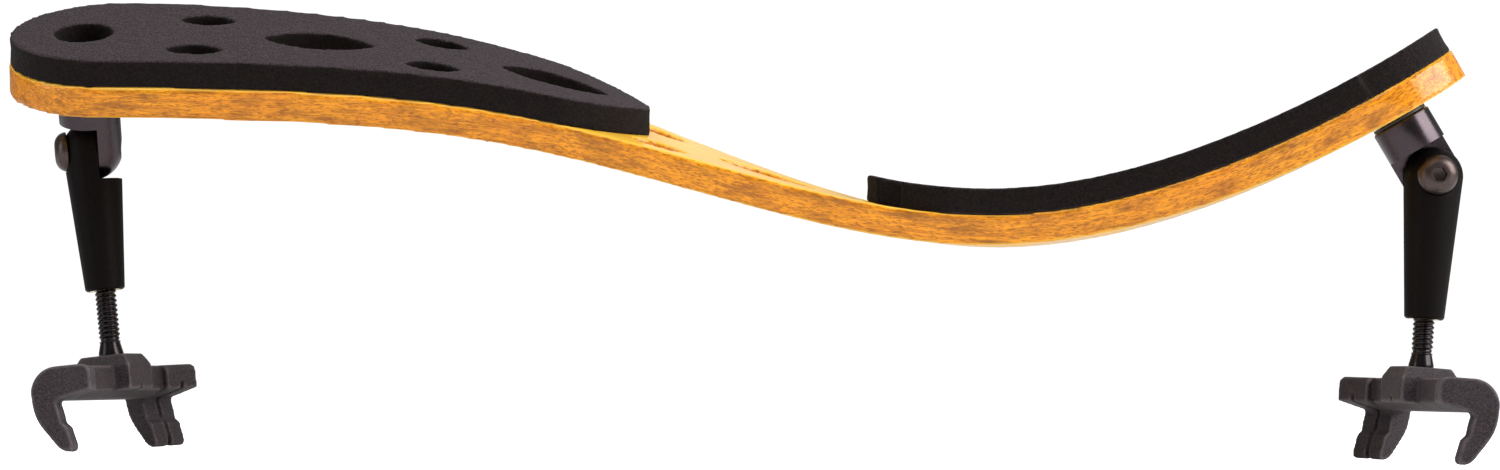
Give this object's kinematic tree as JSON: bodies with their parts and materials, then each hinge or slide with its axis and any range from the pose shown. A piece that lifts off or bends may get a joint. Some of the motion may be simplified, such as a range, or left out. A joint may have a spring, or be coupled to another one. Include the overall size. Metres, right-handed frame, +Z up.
{
  "type": "violin shoulder rest",
  "caption": "Violin shoulder rest: a twisted S-shaped maple bridge with dark foam pads, on swivelling, hinged, screw-adjusted feet with rubber forks.",
  "frame": {"origin": "centre of the bounding box, on the surface that the fork tips stand on", "axes": "+X along the bridge from its wide end to its narrow end, +Y across it away from the player, +Z up"},
  "size_m": [0.2406, 0.0566, 0.075],
  "materials": {
    "maple": "lacquered, glossy",
    "foam": "closed-cell foam, matt",
    "black_metal": "satin black anodised",
    "dark_screw": "blackened, satin",
    "nylon": "matt",
    "black_leg": "matt black",
    "brass": "turned",
    "black_rod": "glossy black",
    "steel": "plain",
    "rubber": "soft matt rubber"
  },
  "bodies": {
    "bridge": {"bridge": "maple", "wide_pad": "foam", "narrow_pad": "foam", "wide_screw_washer": "dark_screw", "wide_swivel_washer": "nylon", "narrow_screw_washer": "dark_screw", "narrow_swivel_washer": "nylon"},
    "wide_post": {"wide_post": "black_metal", "wide_post_screw": "dark_screw", "wide_hinge_screw": "dark_screw", "wide_hinge_washer": "nylon"},
    "wide_leg": {"wide_leg": "black_leg", "wide_thread_insert": "brass"},
    "wide_rod": {"wide_rod": "black_rod"},
    "wide_fork": {"wide_fork_core": "steel", "wide_fork": "rubber"},
    "narrow_post": {"narrow_post": "black_metal", "narrow_post_screw": "dark_screw", "narrow_hinge_screw": "dark_screw", "narrow_hinge_washer": "nylon"},
    "narrow_leg": {"narrow_leg": "black_leg", "narrow_thread_insert": "brass"},
    "narrow_rod": {"narrow_rod": "black_rod"},
    "narrow_fork": {"narrow_fork_core": "steel", "narrow_fork": "rubber"}
  },
  "joints": [
    {"name": "wide_swivel", "type": "hinge", "parent": "bridge", "child": "wide_post", "pos_m": [-0.10782, 0.00307, 0.04971], "axis": [-0.0093, -0.4027, 0.9153], "range_deg": [-180, 180]},
    {"name": "wide_fold", "type": "hinge", "parent": "wide_post", "child": "wide_leg", "pos_m": [-0.10782, 0.00307, 0.04971], "axis": [-0.9701, -0.2183, -0.106], "range_deg": [-100.6, 49.4]},
    {"name": "wide_height", "type": "slide", "parent": "wide_leg", "child": "wide_rod", "axis": [0.1132, -0.0208, -0.9934], "range_m": [-0.00714, 0.00476]},
    {"name": "wide_fork_turn", "type": "hinge", "parent": "wide_rod", "child": "wide_fork", "pos_m": [-0.10393, 0.00236, 0.01558], "axis": [0.1132, -0.0208, -0.9934], "range_deg": [-3240, 2160]},
    {"name": "narrow_swivel", "type": "hinge", "parent": "bridge", "child": "narrow_post", "pos_m": [0.11369, -0.00294, 0.04697], "axis": [-0.5068, 0.0176, 0.8619], "range_deg": [-180, 180]},
    {"name": "narrow_fold", "type": "hinge", "parent": "narrow_post", "child": "narrow_leg", "pos_m": [0.11369, -0.00294, 0.04697], "axis": [-0.01, -0.9998, 0.0146], "range_deg": [-40.8, 109.2]},
    {"name": "narrow_height", "type": "slide", "parent": "narrow_leg", "child": "narrow_rod", "axis": [-0.0645, -0.0139, -0.9978], "range_m": [-0.00556, 0.00635]},
    {"name": "narrow_fork_turn", "type": "hinge", "parent": "narrow_rod", "child": "narrow_fork", "pos_m": [0.11166, -0.00338, 0.01559], "axis": [-0.0645, -0.0139, -0.9978], "range_deg": [-2520, 2880]}
  ],
  "couplings": [
    {"joint": "wide_height", "follows": "wide_fork_turn", "m_per_rad": 0.00012633},
    {"joint": "narrow_height", "follows": "narrow_fork_turn", "m_per_rad": 0.00012633}
  ]
}
